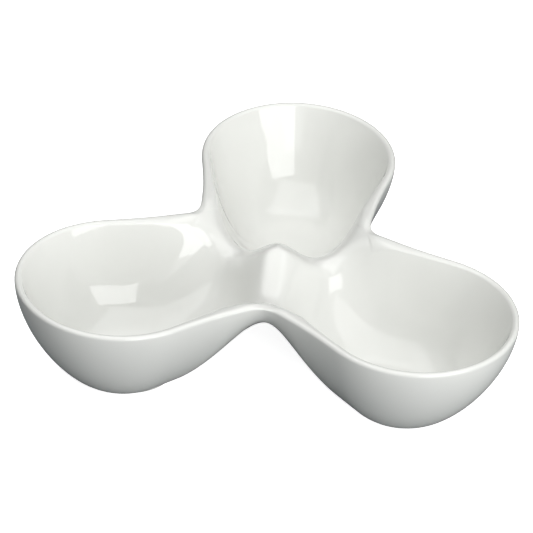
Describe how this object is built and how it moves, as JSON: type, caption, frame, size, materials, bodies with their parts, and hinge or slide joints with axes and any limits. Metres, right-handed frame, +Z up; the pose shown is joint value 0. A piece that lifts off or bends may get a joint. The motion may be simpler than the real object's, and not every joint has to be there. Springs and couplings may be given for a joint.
{
  "type": "divided serving bowl",
  "caption": "Trefoil serving dish of glazed porcelain with deep lobes kept apart by a dipping divider that rises to a central knob.",
  "frame": {"origin": "on the table, under the middle of the dish's outline", "axes": "+Z up, +Y towards the rear lobe, +X to the right of someone who looks at the dish from the front, with the rear lobe farthest away"},
  "size_m": [0.254, 0.2342, 0.0584],
  "materials": {
    "white_glaze": "clear gloss glaze over hard white porcelain, smooth all over",
    "biscuit_foot": "unglazed porcelain biscuit, ground flat where it stands"
  },
  "bodies": {
    "root": {"rear_bowl": "white_glaze", "left_bowl": "white_glaze", "right_bowl": "white_glaze", "centre_divider": "white_glaze", "rear_foot_ring": "biscuit_foot", "left_foot_ring": "biscuit_foot", "right_foot_ring": "biscuit_foot"}
  },
  "joints": []
}
